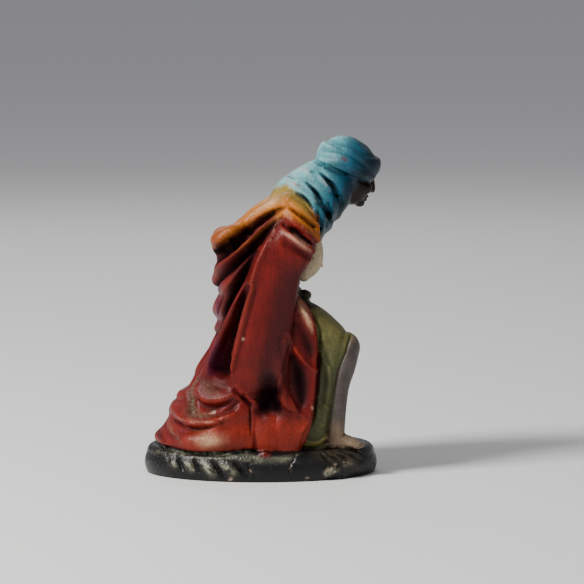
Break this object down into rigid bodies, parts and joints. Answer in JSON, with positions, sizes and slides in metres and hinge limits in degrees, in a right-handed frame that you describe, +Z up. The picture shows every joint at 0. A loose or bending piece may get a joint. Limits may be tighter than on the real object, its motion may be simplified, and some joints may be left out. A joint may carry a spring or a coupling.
{
  "type": "nativity shepherd figurine",
  "caption": "Kneeling shepherd in turban, mantle and long cloak, bowing with forearms folded on the breast, cast in one with an oval plinth.",
  "frame": {"origin": "middle of the oval plinth's flat underside", "axes": "+Z up, +X the way the shepherd kneels and bows, +Y to the shepherd's left"},
  "size_m": [0.0578, 0.0371, 0.0818],
  "materials": {
    "painted_plaster": "satin oil paint on cast plaster, in red, orange, teal and olive, with a black plinth"
  },
  "bodies": {
    "root": {"shepherd_and_plinth": "painted_plaster"}
  },
  "joints": []
}
